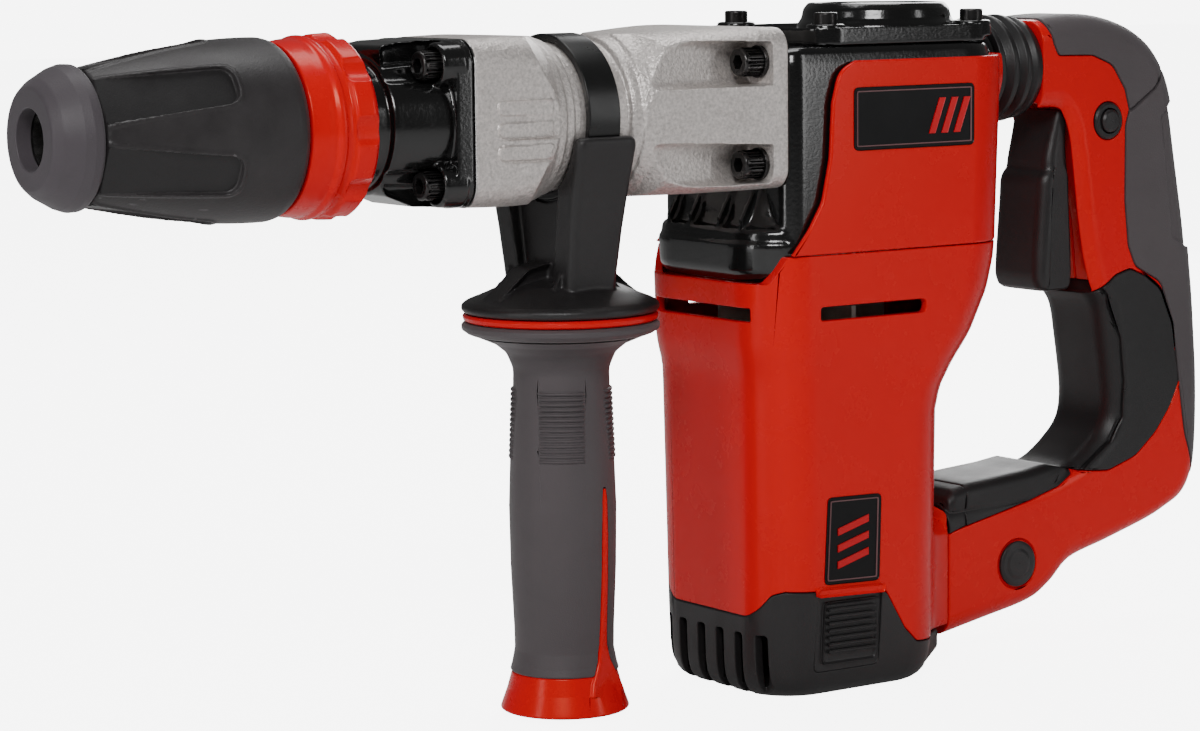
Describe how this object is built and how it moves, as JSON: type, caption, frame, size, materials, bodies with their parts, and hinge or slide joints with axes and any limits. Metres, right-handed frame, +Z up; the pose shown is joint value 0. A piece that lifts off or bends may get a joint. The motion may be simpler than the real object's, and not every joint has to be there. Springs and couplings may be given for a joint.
{
  "type": "demolition hammer",
  "caption": "Electric demolition hammer with an upright motor, crank-driven striker, pull-back tool holder, turning side handle and sprung D-shaped rear handle.",
  "frame": {"origin": "on the vertical axis of the motor, at the flat underside of the base cap", "axes": "+X from the nose to the rear handle, +Y to the tool's own left side when seen from behind the handle, +Z up along the motor axis"},
  "size_m": [0.4593, 0.0772, 0.2296],
  "materials": {
    "motor_housing": "satin moulded plastic",
    "upper_cover": "satin moulded plastic",
    "crankcase": "gloss black powder coat",
    "barrel_housing": "fine cast texture, satin",
    "front_flange": "gloss black powder coat",
    "top_cap": "gloss black powder coat",
    "base_cap": "finely textured moulded plastic",
    "flange_bolt_1": "black oxide",
    "flange_bolt_2": "black oxide",
    "flange_bolt_3": "black oxide",
    "flange_bolt_4": "black oxide",
    "barrel_bolt_1": "black oxide",
    "barrel_bolt_2": "black oxide",
    "barrel_bolt_3": "black oxide",
    "barrel_bolt_4": "black oxide",
    "stator": "stacked laminations",
    "upper_bearing": "ground",
    "lower_bearing": "ground",
    "brush_left": "pressed carbon",
    "brush_right": "pressed carbon",
    "brush_holder_left": "stamped",
    "brush_holder_right": "stamped",
    "cylinder": "ground",
    "crank_bearing": "ground",
    "armature_shaft": "ground",
    "armature_core": "stacked laminations",
    "commutator": "lacquered copper winding over laminated steel",
    "cooling_fan": "glass-filled nylon",
    "crank_gear": "ground",
    "crank_shaft": "ground",
    "piston": "ground",
    "wrist_pin": "ground",
    "piston_ring": "matt rubber",
    "connecting_rod": "ground",
    "striker": "ground",
    "striker_ring": "matt rubber",
    "beat_piece": "black oxide",
    "tool_spindle": "ground",
    "dust_cap": "matt rubber",
    "locking_roller_top": "black oxide",
    "locking_roller_bottom": "black oxide",
    "cone_sleeve": "matt rubber",
    "red_ring": "satin moulded plastic",
    "sleeve_spring": "ground",
    "clamp_band": "black oxide",
    "clamp_bracket": "finely textured moulded plastic",
    "clamp_bolt": "ground",
    "grip_core": "satin moulded plastic",
    "grip_rubber": "soft matt overmould",
    "handle_left": "satin moulded plastic",
    "handle_right": "satin moulded plastic",
    "soft_grip": "soft matt overmould",
    "lower_grip": "matt rubber",
    "bridge_pad": "matt rubber",
    "pivot_pin": "finely textured moulded plastic",
    "switch_body": "finely textured moulded plastic",
    "bellows": "matt rubber",
    "handle_spring": "ground",
    "trigger": "finely textured moulded plastic",
    "lock_button": "finely textured moulded plastic"
  },
  "bodies": {
    "housing": {"motor_housing": "motor_housing", "upper_cover": "upper_cover", "crankcase": "crankcase", "barrel_housing": "barrel_housing", "front_flange": "front_flange", "top_cap": "top_cap", "base_cap": "base_cap", "flange_bolt_1": "flange_bolt_1", "flange_bolt_2": "flange_bolt_2", "flange_bolt_3": "flange_bolt_3", "flange_bolt_4": "flange_bolt_4", "barrel_bolt_1": "barrel_bolt_1", "barrel_bolt_2": "barrel_bolt_2", "barrel_bolt_3": "barrel_bolt_3", "barrel_bolt_4": "barrel_bolt_4", "stator": "stator", "upper_bearing": "upper_bearing", "lower_bearing": "lower_bearing", "brush_left": "brush_left", "brush_right": "brush_right", "brush_holder_left": "brush_holder_left", "brush_holder_right": "brush_holder_right", "cylinder": "cylinder", "crank_bearing": "crank_bearing"},
    "armature": {"armature_shaft": "armature_shaft", "armature_core": "armature_core", "commutator": "commutator", "cooling_fan": "cooling_fan"},
    "crank": {"crank_gear": "crank_gear", "crank_shaft": "crank_shaft"},
    "piston": {"piston": "piston", "wrist_pin": "wrist_pin", "piston_ring": "piston_ring"},
    "connecting_rod": {"connecting_rod": "connecting_rod"},
    "striker": {"striker": "striker", "striker_ring": "striker_ring"},
    "beat_piece": {"beat_piece": "beat_piece"},
    "tool_holder": {"tool_spindle": "tool_spindle", "dust_cap": "dust_cap"},
    "locking_roller_top": {"locking_roller_top": "locking_roller_top"},
    "locking_roller_bottom": {"locking_roller_bottom": "locking_roller_bottom"},
    "lock_sleeve": {"cone_sleeve": "cone_sleeve", "red_ring": "red_ring", "sleeve_spring": "sleeve_spring"},
    "side_clamp": {"clamp_band": "clamp_band", "clamp_bracket": "clamp_bracket"},
    "clamp_bolt": {"clamp_bolt": "clamp_bolt"},
    "side_grip": {"grip_core": "grip_core", "grip_rubber": "grip_rubber"},
    "rear_handle": {"handle_left": "handle_left", "handle_right": "handle_right", "soft_grip": "soft_grip", "lower_grip": "lower_grip", "bridge_pad": "bridge_pad", "pivot_pin": "pivot_pin", "switch_body": "switch_body", "bellows": "bellows", "handle_spring": "handle_spring"},
    "trigger": {"trigger": "trigger"},
    "lock_button": {"lock_button": "lock_button"}
  },
  "joints": [
    {"name": "armature_spin", "type": "hinge", "parent": "housing", "child": "armature", "pos_m": [0, 0, 0], "axis": [0, 0, 1], "continuous": true},
    {"name": "crank_spin", "type": "hinge", "parent": "housing", "child": "crank", "pos_m": [0.033, 0, 0], "axis": [0, 0, 1], "continuous": true},
    {"name": "piston_slide", "type": "slide", "parent": "housing", "child": "piston", "axis": [-1, 0, 0], "range_m": [0, 0.025]},
    {"name": "rod_swing", "type": "hinge", "parent": "piston", "child": "connecting_rod", "pos_m": [-0.0295, 0, 0.1955], "axis": [0, 0, 1], "range_deg": [-9.59, 9.59]},
    {"name": "striker_slide", "type": "slide", "parent": "housing", "child": "striker", "axis": [-1, 0, 0], "range_m": [0, 0.015]},
    {"name": "beat_slide", "type": "slide", "parent": "housing", "child": "beat_piece", "axis": [-1, 0, 0], "range_m": [0, 0.006]},
    {"name": "tool_holder_turn", "type": "hinge", "parent": "housing", "child": "tool_holder", "pos_m": [-0.2285, 0, 0.1955], "axis": [1, 0, 0], "continuous": true},
    {"name": "sleeve_slide", "type": "slide", "parent": "tool_holder", "child": "lock_sleeve", "axis": [1, 0, 0], "range_m": [0, 0.008], "deforming": ["sleeve_spring"]},
    {"name": "top_roller_slide", "type": "slide", "parent": "tool_holder", "child": "locking_roller_top", "axis": [0, 0, 1], "range_m": [0, 0.002]},
    {"name": "bottom_roller_slide", "type": "slide", "parent": "tool_holder", "child": "locking_roller_bottom", "axis": [0, 0, -1], "range_m": [0, 0.002]},
    {"name": "side_clamp_turn", "type": "hinge", "parent": "housing", "child": "side_clamp", "pos_m": [-0.099, 0, 0.1955], "axis": [1, 0, 0], "continuous": true},
    {"name": "grip_twist", "type": "hinge", "parent": "side_clamp", "child": "side_grip", "pos_m": [-0.099, 0, 0.1], "axis": [0, 0, 1], "range_deg": [-720, 0]},
    {"name": "clamp_bolt_slide", "type": "slide", "parent": "side_clamp", "child": "clamp_bolt", "axis": [0, 0, 1], "range_m": [0, 0.0025]},
    {"name": "handle_pivot", "type": "hinge", "parent": "housing", "child": "rear_handle", "pos_m": [0.0835, 0, 0.031], "axis": [0, 1, 0], "range_deg": [-1.5, 0.5], "deforming": ["bellows", "handle_spring"]},
    {"name": "trigger_squeeze", "type": "hinge", "parent": "rear_handle", "child": "trigger", "pos_m": [0.106, 0, 0.187], "axis": [0, 1, 0], "range_deg": [-7, 0]},
    {"name": "lock_press", "type": "slide", "parent": "rear_handle", "child": "lock_button", "axis": [0, 1, 0], "range_m": [0, 0.003]}
  ],
  "couplings": [
    {"joint": "crank_spin", "follows": "armature_spin", "ratio": -0.22222},
    {"joint": "top_roller_slide", "follows": "sleeve_slide", "ratio": 0.25},
    {"joint": "bottom_roller_slide", "follows": "sleeve_slide", "ratio": 0.25},
    {"joint": "clamp_bolt_slide", "follows": "grip_twist", "m_per_rad": -0.00019894}
  ]
}
